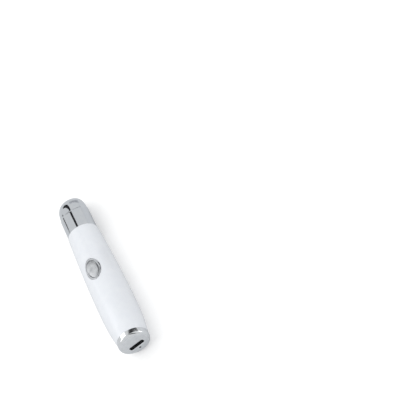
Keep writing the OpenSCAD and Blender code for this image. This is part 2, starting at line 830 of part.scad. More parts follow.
// Plastic sleeve in the barrel's bore that the head is pushed onto, with a bulkhead for the wires
module head_collar() {
    rear_in_r = collar_r - collar_wall;
    front_in_r = collar_front_r - collar_wall;
    bulkhead_y = collar_end_y - bulkhead_t;
    outline = [
        [rear_in_r, carrier_front_y], [collar_r, carrier_front_y], [collar_r, head_seat_y],
        [collar_front_r, head_seat_y], [collar_front_r, collar_end_y], [0, collar_end_y],
        [0, bulkhead_y], [front_in_r, bulkhead_y], [front_in_r, head_seat_y + 1], [rear_in_r, head_seat_y + 1]
    ];
    color("whitesmoke") difference() {
        revolved(outline);
        block([-wire_window_w / 2, bulkhead_y - 1, wire_run_high_z - wire_window_h / 2],
              [wire_window_w / 2, collar_end_y + 1, wire_run_high_z + wire_window_h / 2]);
    }
}

// Polished shell: a round side wall closed by a domed face that is slanted towards the button
module massage_head() {
    color("silver") difference() {
        union() {
            bar(head_spigot_r, head_seat_y + seat_gap, rim_y + 1);
            difference() {
                translate([0, rim_y + seat_gap, 0]) rotate([-90, 0, 0])
                    cylinder(r1 = head_base_r, r2 = head_tip_r, h = total_l - rim_y);
                difference() {
                    block([-far, dome_y, -far], [far, total_l + 1, far]);
                    translate([0, dome_y, dome_z]) sphere(r = dome_r);
                }
            }
        }
        bar(head_in_r, head_seat_y - 1, dome_y);
        intersection() {
            bar(head_in_r, dome_y - 1, total_l);
            translate([0, dome_y, dome_z]) sphere(r = dome_in_r);
        }
    }
}

// Tube from the collar's bulkhead to the back of the pad, cut along the slanted plane
module heater_holder() {
    color("whitesmoke") difference() {
        bar(holder_r, collar_end_y, total_l);
        bar(holder_r - holder_wall, collar_end_y - 1, total_l + 1);
        on_slant() translate([-far, -far, pad_back]) cube(2 * far);
    }
}

module heater_pad() {
    color([0.75, 0.3, 0.2]) difference() {
        on_slant() intersection() {
            sphere(r = pad_front_r);
            translate([0, 0, pad_back]) cylinder(r = pad_r, h = dome_r);
        }
        on_slant() translate([0, 0, pad_back - 1]) cylinder(r = sensor_pocket_r, h = dome_r);
    }
}

module heater_film() {
    color("orange") on_slant() difference() {
        intersection() {
            sphere(r = film_out_r);
            translate([0, 0, pad_back]) cylinder(r = film_r, h = dome_r);
        }
        sphere(r = film_out_r - film_t);
    }
}

// Temperature sensor in the pad's middle, just behind the film
module thermistor() {
    sensor_front = pad_front_r - 0.2;
    color([0.1, 0.1, 0.11]) on_slant() translate([0, 0, pad_back + 0.4])
        cylinder(r = sensor_r, h = sensor_front - pad_back - 0.4);
}

// Two heater wires and two sensor wires, from the main board through the bulkhead to the pad
module heater_leads() {
    start_y = board_y + board_l - 0.6;
    inside_y = collar_end_y + 0.6;
    heater_x = 2.4;
    sensor_x = 0.45;
    drop_y = inside_y + 1.5;
    pocket_y = dome_y + pad_back * cos(head_slant);
    pocket_z = dome_z + pad_back * sin(head_slant);
    top_face_y = pocket_y - (wire_run_high_z - pocket_z) * tan(head_slant) - wire_r;
    color("khaki") for (side = [-1, 1]) {
        wire([[side * heater_x, start_y, wire_run_high_z], [side * heater_x, top_face_y, wire_run_high_z]]);
        wire([[side * sensor_x, start_y, wire_run_high_z], [side * sensor_x, drop_y, wire_run_high_z],
              [side * sensor_x, drop_y, pocket_z], [side * sensor_x, pocket_y + 0.15, pocket_z]]);
    }
}

seated() barrel();
seated() end_cap();
seated() port_insert();
seated() usb_socket();
seated() usb_tongue();
seated() light_pipe();
seated() charge_led();
seated() charge_board();
seated() charge_board_parts();
seated() inner_carrier();
seated() carrier_screws();
seated() battery_cell();
seated() battery_tabs();
seated() battery_leads();
seated() charge_leads();
seated() main_board();
seated() main_board_parts();
seated() switch_body();
seated() switch_plunger();
seated() button_cap();
seated() button_bezel();
seated() motor_can();
seated() motor_end_bell();
seated() motor_magnet();
seated() motor_bearing();
seated() motor_sleeve();
seated() motor_clamp();
seated() motor_leads();
seated() motor_shaft();
seated() motor_armature();
seated() eccentric_weight();
seated() head_collar();
seated() massage_head();
seated() heater_holder();
seated() heater_pad();
seated() heater_film();
seated() thermistor();
seated() heater_leads();
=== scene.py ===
# %% [markdown]
# # A heated eye massager wand
#
# The wand is a plump white barrel with a polished, domed head, an oval push button and a bright end
# cap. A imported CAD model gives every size, and this script dresses it: the shell pieces are remade as
# smooth meshes, and the pieces inside keep their CAD mesh and get a finish. We first load that model,
# and keep its box, because the dressed wand has to stay inside it.

import math

import bpy
import mathutils
import numpy as np
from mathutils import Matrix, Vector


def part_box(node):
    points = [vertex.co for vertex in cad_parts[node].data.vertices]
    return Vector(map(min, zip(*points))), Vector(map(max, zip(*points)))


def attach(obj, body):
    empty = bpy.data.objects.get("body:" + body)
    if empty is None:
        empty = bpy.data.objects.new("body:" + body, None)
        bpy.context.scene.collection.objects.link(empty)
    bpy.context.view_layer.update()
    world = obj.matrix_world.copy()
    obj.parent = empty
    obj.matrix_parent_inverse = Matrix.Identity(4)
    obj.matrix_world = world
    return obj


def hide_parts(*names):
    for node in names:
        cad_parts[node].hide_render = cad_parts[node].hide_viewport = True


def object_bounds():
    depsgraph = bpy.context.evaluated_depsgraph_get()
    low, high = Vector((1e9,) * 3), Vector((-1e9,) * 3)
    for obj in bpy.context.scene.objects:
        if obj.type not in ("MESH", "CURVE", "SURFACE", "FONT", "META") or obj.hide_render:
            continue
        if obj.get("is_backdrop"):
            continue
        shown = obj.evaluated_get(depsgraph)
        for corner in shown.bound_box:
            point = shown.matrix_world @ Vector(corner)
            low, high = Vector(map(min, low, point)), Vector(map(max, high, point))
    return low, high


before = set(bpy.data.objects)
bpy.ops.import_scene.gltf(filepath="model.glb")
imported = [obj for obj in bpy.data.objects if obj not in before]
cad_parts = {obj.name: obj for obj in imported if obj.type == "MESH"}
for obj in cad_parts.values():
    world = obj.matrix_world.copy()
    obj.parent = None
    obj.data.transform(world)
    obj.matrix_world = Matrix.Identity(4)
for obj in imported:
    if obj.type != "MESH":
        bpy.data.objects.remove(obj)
cad_box = [list(corner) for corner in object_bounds()]
print("CAD box in mm:", [[round(c * 1000, 2) for c in corner] for corner in cad_box])

# %% [markdown]
# ## Sizes
#
# All sizes are in millimetres and count from the wand's own lines: stations run along it from the flat
# charging face, and heights from its axis. `place` turns such a point into Blender's metres, in the
# frame where the wand rests on the ground with its middle over the origin.

# %% Sizes of the shell
BARREL_FULL_R = 12.5
FOOT_DROP = 0.4
BARREL_REAR_R = 10.5
BARREL_FRONT_R = 10.6
BARREL_REAR_Y = 4.8
BARREL_BELLY_Y = 35.8
BARREL_RIM_Y = 95.5
LIP_ROUND = 0.4
BORE_R = 9.2
HEAD_BORE_R = 9.65
HEAD_SEAT_Y = 90.0
BUTTON_Y = 58.3

TIP_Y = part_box("massage_head")[1][1] * 1000 - cad_box[0][1] * 1000
MIDDLE_Y = TIP_Y / 2


def place(points):
    return (np.asarray(points, float) + [0, -MIDDLE_Y, BARREL_FULL_R - FOOT_DROP]) / 1000


print("the wand is", round(TIP_Y, 2), "mm long")

# %% [markdown]
# ## A mesh from rings
#
# A wand is round almost everywhere, so most pieces are rings of points joined by four-sided faces. A
# modifier could turn a profile for us, but rings drawn one by one also follow ovals and slanted edges. A
# ring that shrinks to a point becomes a fan. Edges sharper than the given angle stay crisp.

# %% Rings to mesh
def mesh_of_rings(name, rings, crease=35, loop=False):
    vertices, starts, sizes = [], [], []
    for ring in rings:
        ring = place(ring)
        starts.append(len(vertices))
        point = np.ptp(ring, axis=0).max() < 1e-7
        sizes.append(1 if point else len(ring))
        vertices.extend(ring[:1] if point else ring)
    pairs = list(zip(range(len(rings) - 1), range(1, len(rings))))
    if loop:
        pairs.append((len(rings) - 1, 0))
    faces = []
    for a, b in pairs:
        count = max(sizes[a], sizes[b])
        for i in range(count):
            j = (i + 1) % count
            corners = [starts[a] + (i if sizes[a] > 1 else 0), starts[a] + (j if sizes[a] > 1 else 0),
                       starts[b] + (j if sizes[b] > 1 else 0), starts[b] + (i if sizes[b] > 1 else 0)]
            faces.append(list(dict.fromkeys(corners)))
    mesh = bpy.data.meshes.new(name)
    mesh.from_pydata([tuple(v) for v in vertices], [], faces)
    piece = bpy.data.objects.new(name, mesh)
    bpy.context.collection.objects.link(piece)
    outward(mesh)
    mesh.shade_smooth()
    mesh.set_sharp_from_angle(angle=math.radians(crease))
    return piece


def outward(mesh):
    import bmesh
    shape = bmesh.new()
    shape.from_mesh(mesh)
    bmesh.ops.recalc_face_normals(shape, faces=shape.faces)
    shape.to_mesh(mesh)
    shape.free()


def turned(name, profile, around=160, crease=35):
    angles = np.linspace(0, 2 * np.pi, around, endpoint=False)
    rings = [np.stack([r * np.sin(angles), np.full(around, float(y)), r * np.cos(angles)], -1)
             for r, y in profile]
    return mesh_of_rings(name, rings, crease, loop=profile[0][0] > 0)


def carve(piece, *cutters, crease=35):
    for cutter in cutters:
        cut = piece.modifiers.new("cut", "BOOLEAN")
        cut.operation = "DIFFERENCE"
        cut.solver = "EXACT"
        cut.object = cutter
    done = piece.evaluated_get(bpy.context.evaluated_depsgraph_get())
    mesh = bpy.data.meshes.new_from_object(done)
    piece.modifiers.clear()
    piece.data = mesh
    for cutter in cutters:
        bpy.data.objects.remove(cutter)
    mesh.shade_smooth()
    mesh.set_sharp_from_angle(angle=math.radians(crease))
    print(piece.name, "has", len(mesh.polygons), "faces after the cuts")


print("ring helpers are ready")

# %% [markdown]
# ## The push button's oval
#
# The button, its ring and its window are ovals that lie on a round barrel. `oval_ring` gives one ring
# of points: it is grown outwards from the button's outline, and lies either flat at a height or on a
# cylinder round the wand's axis, so that the bright ring hugs the barrel.

# %% Oval rings
OVAL_POINTS = 120
BUTTON_L = 13.4
BUTTON_W = 7.6


def oval_ring(grow, flat=None, over=None, scale=1.0):
    turn = np.linspace(0, 2 * np.pi, OVAL_POINTS, endpoint=False)
    x = (BUTTON_W / 2 + grow) * scale * np.sin(turn)
    y = BUTTON_Y + (BUTTON_L / 2 + grow) * scale * np.cos(turn)
    z = np.full_like(x, flat) if over is None else np.sqrt(over * over - x * x)
    return np.stack([x, y, z], -1)


def barrel_r(y):
    y = np.asarray(y, float)
    rear = np.clip((BARREL_BELLY_Y - y) / (BARREL_BELLY_Y - BARREL_REAR_Y), 0, 1)
    front = np.clip((y - BARREL_BELLY_Y) / (BARREL_RIM_Y - BARREL_BELLY_Y), 0, 1)
    return (BARREL_FULL_R - (BARREL_FULL_R - BARREL_REAR_R) * rear ** 3
            - (BARREL_FULL_R - BARREL_FRONT_R) * front ** 1.8)


SURFACE_R = float(barrel_r(BUTTON_Y))
print("the barrel's radius under the button is", round(SURFACE_R, 2), "mm")

# %% [markdown]
# ## The barrel
#
# The real barrel is one moulding of pearly white plastic: fullest near its rear third, and slimmer
# towards both ends. We turn its profile, with a softly rounded lip in front, and cut the window and the
# seat for the button's ring out of it. Last, a flat sole is cut along its underside, because a round wand
# would roll away.

# %% Barrel with its window
WINDOW_GROW = 0.9
SEAT_GROW = 1.75
SEAT_DEPTH = 0.8
CUT_LOW_Z = 5
CUT_HIGH_Z = 20
SOLE_REACH = 9
SOLE_END_Y = 99

rear = [(float(barrel_r(y)), y) for y in np.linspace(BARREL_REAR_Y, BARREL_BELLY_Y, 34)]
front = [(float(barrel_r(y)), y)
         for y in np.linspace(BARREL_BELLY_Y, BARREL_RIM_Y - LIP_ROUND, 56)[1:]]
lip = [(BARREL_FRONT_R - LIP_ROUND * (1 - math.cos(a)), BARREL_RIM_Y - LIP_ROUND * (1 - math.sin(a)))
       for a in np.linspace(0, math.pi / 2, 8)[1:]]
bore = [(HEAD_BORE_R, BARREL_RIM_Y), (HEAD_BORE_R, HEAD_SEAT_Y), (BORE_R, HEAD_SEAT_Y),
        (BORE_R, BARREL_REAR_Y)]
barrel = turned("barrel_shell", rear + front + lip + bore, around=180)
window = mesh_of_rings("window_cutter", [
    oval_ring(WINDOW_GROW, flat=CUT_LOW_Z, scale=0), oval_ring(WINDOW_GROW, flat=CUT_LOW_Z),
    oval_ring(WINDOW_GROW, flat=CUT_HIGH_Z), oval_ring(WINDOW_GROW, flat=CUT_HIGH_Z, scale=0)])
seat_floor = [oval_ring(SEAT_GROW, over=SURFACE_R - SEAT_DEPTH, scale=s) for s in (0, 0.25, 0.5, 0.75, 1)]
seat = mesh_of_rings("seat_cutter", seat_floor + [
    oval_ring(SEAT_GROW, flat=CUT_HIGH_Z), oval_ring(SEAT_GROW, flat=CUT_HIGH_Z, scale=0)])
sole_z = FOOT_DROP - BARREL_FULL_R
sole_outline = [(0, sole_z), (0, -CUT_HIGH_Z), (SOLE_END_Y, -CUT_HIGH_Z), (SOLE_END_Y, sole_z)]
sole_middle = [(50, -16)] * 4
sole = mesh_of_rings("sole_cutter", [[(x, *corner) for corner in corners] for x, corners in (
    (-SOLE_REACH, sole_middle), (-SOLE_REACH, sole_outline),
    (SOLE_REACH, sole_outline), (SOLE_REACH, sole_middle))])
carve(barrel, window, seat, sole)
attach(barrel, "wand")
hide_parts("barrel")

# %% [markdown]
# ## The polished head
#
# The head is a drawn metal cup: a side wall that tapers a little, closed by a full dome. Wall and dome
# meet in a soft crease, which is slanted, so it is nearest to the barrel on the button's side. A turned
# profile can't lean, so each line of points runs from the barrel's lip along the wall to the crease,
# down a soft step, and over the dome to its pole. The dome's lines are superellipses: an exponent of 2
# would give a plain ellipse, and a higher one gives fuller shoulders.

# %% Head from wall, crease and dome
HEAD_BASE_R = 10.3
HEAD_TIP_R = 10.0
HEAD_SPIGOT_R = 9.6
HEAD_WALL = 0.9
HEAD_GAP = 0.05
DOME_WALL = 0.6
CREASE_L = 14.6
CREASE_SLANT = math.radians(19)
CREASE_STEP = 0.3
CREASE_BAND = 1.3
DOME_FULLNESS = 3.0
DOME_START = math.radians(6)
POLE_DROP = 1.4
POLE_RISE = 1.5

pole = np.array([0.0, TIP_Y - POLE_DROP, POLE_RISE])
crease_r = HEAD_BASE_R - (HEAD_BASE_R - HEAD_TIP_R) * CREASE_L / (TIP_Y - BARREL_RIM_Y)


def wall_r(y):
    return HEAD_BASE_R - (HEAD_BASE_R - HEAD_TIP_R) * (y - BARREL_RIM_Y - HEAD_GAP) / (TIP_Y - BARREL_RIM_Y)


def crease_ring(inset, around):
    turn = np.linspace(0, 2 * np.pi, around, endpoint=False)
    r = np.full(around, crease_r - inset)
    for _ in range(8):
        y = BARREL_RIM_Y + CREASE_L + (crease_r - r * np.cos(turn)) * math.tan(CREASE_SLANT)
        r = wall_r(y) - inset
    spin = np.stack([np.sin(turn), np.zeros(around), np.cos(turn)], -1)
    return spin, y, r


def dome_rings(crease, top, angles):
    foot = np.array([0, crease[:, 1].mean() - top[2] * math.tan(CREASE_SLANT), top[2]])
    across, along = (np.abs(f(np.array([DOME_START]))) ** (2 / DOME_FULLNESS) for f in (np.cos, np.sin))
    for a in angles:
        out = max(math.cos(a), 0) ** (2 / DOME_FULLNESS) / across
        up = (math.sin(a) ** (2 / DOME_FULLNESS) - along) / (1 - along)
        yield foot + (crease - foot) * out + (top - foot) * up


def head_lines(around=180):
    spin, crease_y, r = crease_ring(0, around)
    rings = []
    for t in np.linspace(0, 1, 22):
        y = BARREL_RIM_Y + HEAD_GAP + t * (crease_y - CREASE_BAND / 2 - BARREL_RIM_Y - HEAD_GAP)
        rings.append(spin * wall_r(y)[:, None] + np.stack([0 * y, y, 0 * y], -1))
    for t in np.linspace(0, 1, 12)[1:]:
        y = crease_y + (t - 0.5) * CREASE_BAND
        sunk = CREASE_STEP * (1 - math.cos(math.pi * t)) / 2
        rings.append(spin * (wall_r(y) - sunk)[:, None] + np.stack([0 * y, y, 0 * y], -1))
    angles = DOME_START + (math.pi / 2 - DOME_START) * np.linspace(0, 1, 44) ** 1.3
    return rings + list(dome_rings(rings[-1], pole, angles))[1:]


def inner_lines(around=180):
    spin, y, r = crease_ring(DOME_WALL, around)
    edge = spin * r[:, None] + [[0, 1, 0]] * y[:, None]
    angles = DOME_START + (math.pi / 2 - DOME_START) * np.linspace(0, 1, 14)
    return list(dome_rings(edge, pole - [0, DOME_WALL, 0], angles))[::-1]


def plain_ring(r, y, around=180):
    turn = np.linspace(0, 2 * np.pi, around, endpoint=False)
    return np.stack([r * np.sin(turn), np.full(around, float(y)), r * np.cos(turn)], -1)


spigot = [plain_ring(r, y) for r, y in (
    (HEAD_BASE_R - DOME_WALL, BARREL_RIM_Y + 1), (HEAD_SPIGOT_R - HEAD_WALL, BARREL_RIM_Y),
    (HEAD_SPIGOT_R - HEAD_WALL, HEAD_SEAT_Y + HEAD_GAP), (HEAD_SPIGOT_R, HEAD_SEAT_Y + HEAD_GAP),
    (HEAD_SPIGOT_R, BARREL_RIM_Y + HEAD_GAP))]
head = mesh_of_rings("massage_head_shell", inner_lines() + spigot + head_lines(), crease=40)
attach(head, "wand")
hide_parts("massage_head")
print("the crease starts", CREASE_L, "mm past the lip on the button's side")

# %% [markdown]
# ## The end cap
#
# A turned cap closes the barrel. Its flat face is satin, its rounded edge is polished, and a slot and a
# small hole for the charging light go through the face. We turn the profile with a fine rounding,
# because a bright metal edge shows every facet, and then cut slot and hole. Their cutters start wide in
# front of the face, which leaves a fine bevel.

# %% End cap with slot and hole
CAP_R = 10.5
CAP_ROUND = 2.0
CAP_FACE_T = 1.4
CAP_IN_R = 8.05
CAP_SPIGOT_R = 9.15
CAP_END_Y = 10
CAP_BEVEL = 0.12
CAP_GAP = 0.02
SLOT_W = 10.6
SLOT_H = 3.5
SLOT_Z = -1.8
LIGHT_Z = -5.8
LIGHT_R = 0.7

edge = [(CAP_R - CAP_ROUND + CAP_ROUND * math.sin(a), CAP_ROUND - CAP_ROUND * math.cos(a))
        for a in np.linspace(0, math.pi / 2, 20)]
joint = [(CAP_R, BARREL_REAR_Y - CAP_BEVEL), (CAP_R - CAP_BEVEL, BARREL_REAR_Y - CAP_GAP)]
inside = [(CAP_SPIGOT_R, BARREL_REAR_Y - CAP_GAP), (CAP_SPIGOT_R, CAP_END_Y), (CAP_IN_R, CAP_END_Y),
          (CAP_IN_R, CAP_FACE_T), (0, CAP_FACE_T)]
cap = turned("end_cap_shell", [(0, 0), (4, 0)] + edge + joint + inside, around=180)


def slot_ring(y, grow=0.0, scale=1.0):
    r = SLOT_H / 2 + grow
    side = SLOT_W / 2 - SLOT_H / 2
    turn = np.linspace(0, 2 * np.pi, 64, endpoint=False)
    across, up = (np.sign(f(turn)) * np.abs(f(turn)) ** 0.6 for f in (np.sin, np.cos))
    x = (r * across + np.sign(across) * side) * scale
    return np.stack([x, np.full(64, float(y)), SLOT_Z + r * up * scale], -1)


def hole_ring(y, r):
    turn = np.linspace(0, 2 * np.pi, 32, endpoint=False)
    return np.stack([r * np.sin(turn), np.full(32, float(y)), LIGHT_Z + r * np.cos(turn)], -1)


slot_cutter = mesh_of_rings("slot_cutter", [
    slot_ring(-1, scale=0), slot_ring(-1, 0.9), slot_ring(0.12), slot_ring(3), slot_ring(3, scale=0)])
hole_cutter = mesh_of_rings("hole_cutter", [
    hole_ring(-1, 0), hole_ring(-1, 1.3), hole_ring(0.08, LIGHT_R), hole_ring(3, LIGHT_R), hole_ring(3, 0)])
carve(cap, slot_cutter, hole_cutter, crease=30)
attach(cap, "wand")
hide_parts("end_cap")

# %% [markdown]
# ## The button and its ring
#
# The push button is a domed oval of satin metal plating in a polished ring. The ring's crown is rounded
# on both sides, so it catches a thin light all the way round, and a dark groove shows between it and the
# button. Below the ring the button has a wider flange, which keeps it in, and a post over the switch.

# %% Bright ring
RING_TOP_R = SURFACE_R + 0.45
RING_LOW_Z = SURFACE_R - 1.9
ring_outer = [(1.65, SURFACE_R - 0.74), (1.69, SURFACE_R + 0.02), (1.64, SURFACE_R + 0.16),
              (1.52, SURFACE_R + 0.29), (1.34, SURFACE_R + 0.39), (1.12, RING_TOP_R)]
ring_crown = [(0.9, RING_TOP_R), (0.6, RING_TOP_R - 0.03), (0.36, RING_TOP_R - 0.12),
              (0.21, RING_TOP_R - 0.27)]
ring_inner = [oval_ring(0.15, over=RING_TOP_R - 0.5), oval_ring(0.15, flat=RING_LOW_Z),
              oval_ring(0.82, flat=RING_LOW_Z), oval_ring(0.82, over=SURFACE_R - 0.74)]
ring = mesh_of_rings("button_ring", [oval_ring(g, over=r) for g, r in ring_outer + ring_crown] + ring_inner,
                     crease=50, loop=True)
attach(ring, "wand")
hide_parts("button_bezel")
print("the ring stands", round(RING_TOP_R - SURFACE_R, 2), "mm proud")

# %% Domed button
BUTTON_TOP_Z = RING_TOP_R + 0.35
BUTTON_DOME_R = 24.0
FLANGE_TOP_Z = RING_LOW_Z - 0.05
FLANGE_LOW_Z = FLANGE_TOP_Z - 0.9
POST_LOW_Z = 7.45


def dome_ring(scale, drop=0.0, grow=0.0):
    points = oval_ring(grow, flat=0, scale=scale)
    away = (points[:, 0] ** 2 + (points[:, 1] - BUTTON_Y) ** 2)
    points[:, 2] = BUTTON_TOP_Z - BUTTON_DOME_R + np.sqrt(BUTTON_DOME_R ** 2 - away) - drop
    return points


def post_ring(z, r=1.8):
    turn = np.linspace(0, 2 * np.pi, OVAL_POINTS, endpoint=False)
    return np.stack([r * np.sin(turn), BUTTON_Y + r * np.cos(turn), np.full(OVAL_POINTS, z)], -1)


top = [dome_ring(s) for s in np.linspace(0, 1, 16)[:-1]]
rounding = [dome_ring(1.0, drop=0.35 * (1 - math.cos(a)), grow=-0.35 * (1 - math.sin(a)))
            for a in np.linspace(0, math.pi / 2, 8)]
below = [oval_ring(0, flat=FLANGE_TOP_Z), oval_ring(0.55, flat=FLANGE_TOP_Z),
         oval_ring(0.55, flat=FLANGE_LOW_Z), post_ring(FLANGE_LOW_Z), post_ring(POST_LOW_Z),
         post_ring(POST_LOW_Z, 0)]
button = mesh_of_rings("push_button", top[:-1] + rounding + below, crease=40)
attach(button, "button")
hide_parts("button_cap")
print("the button's dome is", round(BUTTON_TOP_Z - RING_TOP_R, 2), "mm over its ring")

# %% [markdown]
# ## Finishes
#
# A finish is a small network of shader nodes. `finish` starts one from the Principled shader, and
# `grain` adds the small irregularity that real moulded or polished surfaces have: a noise that varies
# the roughness, the colour a little, and the height through a Bump node. All of it lives in the
# object's own coordinates, so it moves with the piece and is the same from every side.

# %% Helpers for finishes
def finish(name, colour, roughness, metallic=0.0, **more):
    material = bpy.data.materials.new(name)
    material.use_nodes = True
    shader = material.node_tree.nodes["Principled BSDF"]
    shader.inputs["Base Color"].default_value = (*colour, 1)
    shader.inputs["Roughness"].default_value = roughness
    shader.inputs["Metallic"].default_value = metallic
    for key, value in more.items():
        shader.inputs[key.replace("_", " ")].default_value = value
    return material


def node(material, kind, **settings):
    made = material.node_tree.nodes.new(kind)
    for key, value in settings.items():
        setattr(made, key, value)
    return made


def link(material, source, target):
    material.node_tree.links.new(source, target)


def where(material, stretch=(1, 1, 1)):
    coordinates = node(material, "ShaderNodeTexCoord")
    mapping = node(material, "ShaderNodeMapping")
    mapping.inputs["Scale"].default_value = stretch
    link(material, coordinates.outputs["Object"], mapping.inputs["Vector"])
    return mapping.outputs["Vector"]


def noise(material, size_mm, detail=3.0, stretch=(1, 1, 1), roughness=0.5):
    texture = node(material, "ShaderNodeTexNoise")
    texture.inputs["Scale"].default_value = 1000 / size_mm
    texture.inputs["Detail"].default_value = detail
    texture.inputs["Roughness"].default_value = roughness
    link(material, where(material, stretch), texture.inputs["Vector"])
    return texture.outputs["Fac"]


def spread(material, value, low, high, socket):
    span = node(material, "ShaderNodeMapRange")
    span.inputs["From Min"].default_value = 0.3
    span.inputs["From Max"].default_value = 0.7
    span.inputs["To Min"].default_value = low
    span.inputs["To Max"].default_value = high
    link(material, value, span.inputs["Value"])
    link(material, span.outputs["Result"], socket)


def tint(material, value, dark, light):
    mix = node(material, "ShaderNodeMix", data_type="RGBA")
    mix.inputs[6].default_value = (*dark, 1)
    mix.inputs[7].default_value = (*light, 1)
    spread(material, value, 0.0, 1.0, mix.inputs[0])
    link(material, mix.outputs[2], material.node_tree.nodes["Principled BSDF"].inputs["Base Color"])
    return mix


def bump(material, value, strength, depth_mm, onto=None):
    bumps = node(material, "ShaderNodeBump")
    bumps.inputs["Strength"].default_value = strength
    bumps.inputs["Distance"].default_value = depth_mm / 1000
    link(material, value, bumps.inputs["Height"])
    if onto is not None:
        link(material, onto, bumps.inputs["Normal"])
    link(material, bumps.outputs["Normal"], material.node_tree.nodes["Principled BSDF"].inputs["Normal"])
    return bumps.outputs["Normal"]


def grain(material, dark, light, rough, size_mm, depth_mm=0.01, strength=0.3, stretch=(1, 1, 1)):
    shader = material.node_tree.nodes["Principled BSDF"]
    fine = noise(material, size_mm, stretch=stretch)
    tint(material, noise(material, size_mm * 9, detail=4.0), dark, light)
    spread(material, fine, rough[0], rough[1], shader.inputs["Roughness"])
    bump(material, fine, strength, depth_mm)
    return material


def wear(piece, material):
    piece.data.materials.clear()
    piece.data.materials.append(material)


print("finish helpers are ready")

# %% [markdown]
# ## The shell's finishes
#
# The barrel is pearly white plastic under a thin gloss: nearly white, a touch cool, with a very soft
# unevenness where the moulding cooled. The head is polished chrome, which is mostly mirror, with hair
# scratches that run round it. `satin_part` makes one end of a piece satin and the other polished, by
# letting the roughness follow one of the object's axes: the cap's flat face is satin and its edge is
# polished, and the ring is satin on its left and polished on its right.

# %% Pearl white, chrome and satin metal
pearl = finish("pearl_white_plastic", (0.83, 0.85, 0.88), 0.3, IOR=1.46)
grain(pearl, (0.815, 0.835, 0.87), (0.845, 0.862, 0.888), (0.26, 0.36), 0.5, 0.004, 0.15)
pearl.node_tree.nodes["Principled BSDF"].inputs["Coat Weight"].default_value = 0.35
pearl.node_tree.nodes["Principled BSDF"].inputs["Coat Roughness"].default_value = 0.12

chrome = finish("polished_chrome", (0.74, 0.76, 0.79), 0.07, 1.0)
grain(chrome, (0.72, 0.74, 0.775), (0.765, 0.78, 0.80), (0.05, 0.11), 0.35, 0.002, 0.08, stretch=(1, 6, 1))


def satin_part(material, axis, satin_at, polished_at, satin=0.42):
    shader = material.node_tree.nodes["Principled BSDF"]
    coordinates = node(material, "ShaderNodeTexCoord")
    split = node(material, "ShaderNodeSeparateXYZ")
    link(material, coordinates.outputs["Object"], split.inputs["Vector"])
    face = node(material, "ShaderNodeMapRange")
    face.inputs["From Min"].default_value = satin_at / 1000
    face.inputs["From Max"].default_value = polished_at / 1000
    face.inputs["To Min"].default_value = satin
    face.inputs["To Max"].default_value = 0.08
    link(material, split.outputs[axis], face.inputs["Value"])
    grainy = node(material, "ShaderNodeMath", operation="MULTIPLY_ADD")
    link(material, noise(material, 0.3), grainy.inputs[0])
    grainy.inputs[1].default_value = 0.08
    link(material, face.outputs["Result"], grainy.inputs[2])
    link(material, grainy.outputs["Value"], shader.inputs["Roughness"])


cap_metal = finish("cap_chrome_with_satin_face", (0.82, 0.83, 0.85), 0.1, 1.0)
tint(cap_metal, noise(cap_metal, 2.5), (0.79, 0.80, 0.82), (0.87, 0.88, 0.89))
bump(cap_metal, noise(cap_metal, 0.2), 0.12, 0.004)
satin_part(cap_metal, "Y", -MIDDLE_Y + 0.02, -MIDDLE_Y + 0.12)

ring_metal = finish("ring_chrome", (0.70, 0.71, 0.73), 0.1, 1.0)
tint(ring_metal, noise(ring_metal, 0.5), (0.60, 0.61, 0.63), (0.78, 0.79, 0.81))
bump(ring_metal, noise(ring_metal, 0.3), 0.12, 0.003)
satin_part(ring_metal, "X", 0.5, 2.4, satin=0.5)

satin_button = finish("satin_plated_button", (0.70, 0.71, 0.72), 0.32, 0.9)
grain(satin_button, (0.52, 0.53, 0.55), (0.86, 0.87, 0.88), (0.26, 0.42), 0.55, depth_mm=0.014, strength=0.4)

shell_finishes = ((barrel, pearl), (head, chrome), (cap, cap_metal), (ring, ring_metal),
                  (button, satin_button))
for piece, material in shell_finishes:
    wear(piece, material)
print("five shell finishes are on")

# %% [markdown]
# ## Finishes of the pieces inside
#
# Nobody sees these pieces while the wand is closed, but each still gets what its real material shows:
# fibre and lacquer on the boards, drawn lines on the motor's can, a weave of fine grain on rubber. The
# parts in the slot and in the light's hole are the exception: they are darker than their material, with
# painted shade. The CAD meshes keep their shape, and only take a new material.

# %% Metals inside
drawn_steel = finish("drawn_steel", (0.60, 0.61, 0.63), 0.3, 1.0)
grain(drawn_steel, (0.55, 0.56, 0.58), (0.66, 0.67, 0.69), (0.22, 0.38), 0.25, 0.004, 0.2, (1, 0.08, 1))
socket_steel = finish("socket_steel", (0.58, 0.58, 0.60), 0.28, 1.0)
grain(socket_steel, (0.50, 0.50, 0.52), (0.64, 0.64, 0.66), (0.22, 0.36), 0.2, 0.003, 0.2, (1, 0.1, 1))
# Blackened steel for the screws; the USB socket wears it too, as painted shade inside the slot.
blackened_steel_and_slot_shade = finish("blackened_screw_steel_and_slot_shade", (0.20, 0.20, 0.21), 0.38, 1.0)
grain(blackened_steel_and_slot_shade, (0.15, 0.15, 0.16), (0.26, 0.26, 0.27), (0.3, 0.48), 0.2, 0.004, 0.25)
nickel = finish("nickel_strip", (0.62, 0.61, 0.57), 0.26, 1.0)
grain(nickel, (0.56, 0.55, 0.51), (0.68, 0.67, 0.63), (0.2, 0.36), 0.3, 0.004, 0.2, (4, 1, 1))
sintered_bronze = finish("sintered_bronze", (0.55, 0.38, 0.16), 0.42, 1.0)
grain(sintered_bronze, (0.45, 0.30, 0.12), (0.62, 0.45, 0.20), (0.35, 0.55), 0.12, 0.01, 0.4)
sintered_weight = finish("sintered_heavy_metal", (0.26, 0.26, 0.27), 0.5, 1.0)
grain(sintered_weight, (0.20, 0.20, 0.21), (0.32, 0.32, 0.33), (0.42, 0.6), 0.15, 0.012, 0.5)
ground_magnet = finish("ground_magnet", (0.09, 0.09, 0.10), 0.45, 0.8)
grain(ground_magnet, (0.07, 0.07, 0.08), (0.12, 0.12, 0.13), (0.35, 0.55), 0.1, 0.006, 0.4, (1, 0.3, 1))
copper_winding = finish("lacquered_copper_winding", (0.46, 0.17, 0.06), 0.3, 1.0)
